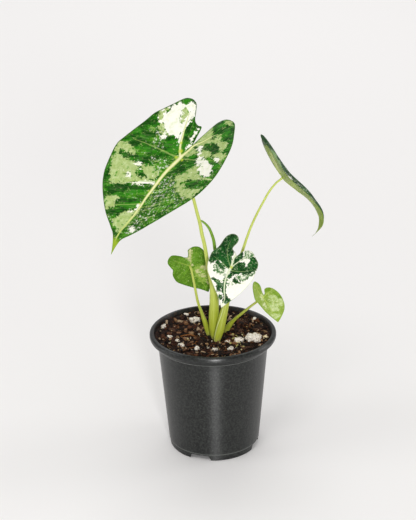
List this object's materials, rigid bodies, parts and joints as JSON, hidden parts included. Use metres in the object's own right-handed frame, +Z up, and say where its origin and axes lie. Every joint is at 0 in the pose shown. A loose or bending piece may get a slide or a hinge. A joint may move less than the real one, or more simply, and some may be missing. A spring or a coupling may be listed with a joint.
{
  "type": "potted alocasia plant",
  "caption": "Young variegated alocasia with arrow-shaped leaves on slim petioles, growing from a corm in bark and perlite mix in a round nursery pot.",
  "frame": {"origin": "middle of the pot's underside, on the surface that the pot stands on", "axes": "+Z up along the pot's axis; -Y towards the viewer, the side that shows the large leaf's face; +X to the right as seen from there"},
  "size_m": [0.1818, 0.1159, 0.3073],
  "materials": {
    "pot_plastic": "charcoal black injection-moulded plastic with a fine pebbled grain and a soft sheen",
    "potting_mix": "dark brown bark and peat crumbs, matte and damp",
    "corm_skin": "brown papery skin",
    "coir": "orange-brown coir strand",
    "petiole_green": "smooth yellow-green stalk, slightly waxy",
    "young_green": "smooth mid-green rolled leaf",
    "leaf_large": "velvety green blade marbled with white and sage, pale midrib, satin",
    "leaf_side": "dark green above, light olive below, satin",
    "leaf_centre": "deep blue-green lobes and cream-white blade, satin",
    "leaf_left": "mid-green underside with cream blotches, satin",
    "leaf_right": "lime green blade with pale mottling, satin",
    "perlite_white": "white expanded perlite, matte and porous",
    "bark_brown": "fine orchid bark flakes, matte"
  },
  "bodies": {
    "root": {"nursery_pot": "pot_plastic", "potting_soil": "potting_mix", "corm_with_roots": "corm_skin", "coir_fibre": "coir", "petiole_large": "petiole_green", "petiole_side": "petiole_green", "petiole_centre": "petiole_green", "petiole_left": "petiole_green", "petiole_right": "petiole_green", "young_rolled_leaf": "young_green", "leaf_blade_large": "leaf_large", "leaf_blade_side": "leaf_side", "leaf_blade_centre": "leaf_centre", "leaf_blade_left": "leaf_left", "leaf_blade_right": "leaf_right", "perlite_01": "perlite_white", "perlite_02": "perlite_white", "perlite_03": "perlite_white", "perlite_04": "perlite_white", "perlite_05": "perlite_white", "perlite_06": "perlite_white", "perlite_07": "perlite_white", "perlite_08": "perlite_white", "perlite_09": "perlite_white", "perlite_10": "perlite_white", "perlite_11": "perlite_white", "perlite_12": "perlite_white", "perlite_13": "perlite_white", "perlite_14": "perlite_white", "perlite_15": "perlite_white", "bark_chip_01": "bark_brown", "bark_chip_02": "bark_brown", "bark_chip_03": "bark_brown", "bark_chip_04": "bark_brown", "bark_chip_05": "bark_brown", "bark_chip_06": "bark_brown", "bark_chip_07": "bark_brown", "bark_chip_08": "bark_brown", "bark_chip_09": "bark_brown"}
  },
  "joints": []
}
